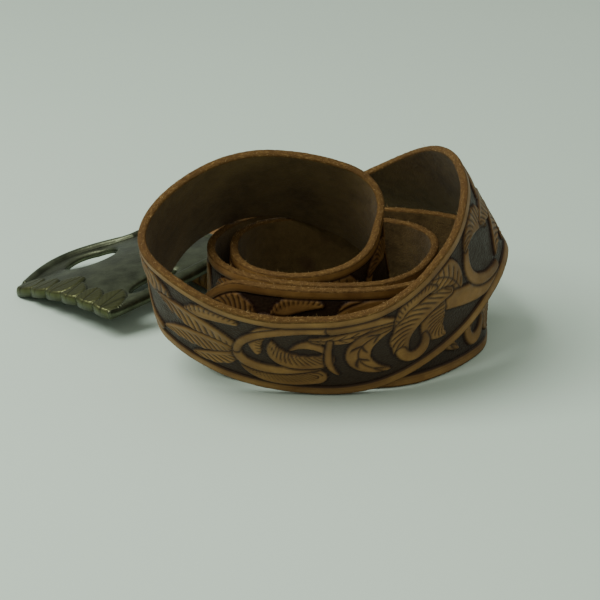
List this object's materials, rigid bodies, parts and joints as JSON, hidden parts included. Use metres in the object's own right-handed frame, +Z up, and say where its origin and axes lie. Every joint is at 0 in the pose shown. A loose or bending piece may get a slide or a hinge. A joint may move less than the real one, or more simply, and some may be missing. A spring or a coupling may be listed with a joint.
{
  "type": "tooled leather belt",
  "caption": "Tooled leather belt with a cast trophy-style buckle plate, lying coiled on its edge with one turn raised over the others.",
  "frame": {"origin": "middle of the coiled belt's footprint, on the ground", "axes": "+Z up; -Y towards the viewer of the picture; the buckle lies at -X"},
  "size_m": [0.1772, 0.1534, 0.0716],
  "materials": {
    "tooled_leather": "oiled saddle leather, carved, dyed dark behind the leaves",
    "antique_pewter": "dark antique pewter, polished on the raised parts"
  },
  "bodies": {
    "root": {"strap": "tooled_leather", "fold_rivet_far": "antique_pewter", "fold_rivet_near": "antique_pewter", "strap_loop": "antique_pewter", "hook_post": "antique_pewter", "buckle_plate": "antique_pewter"}
  },
  "joints": []
}
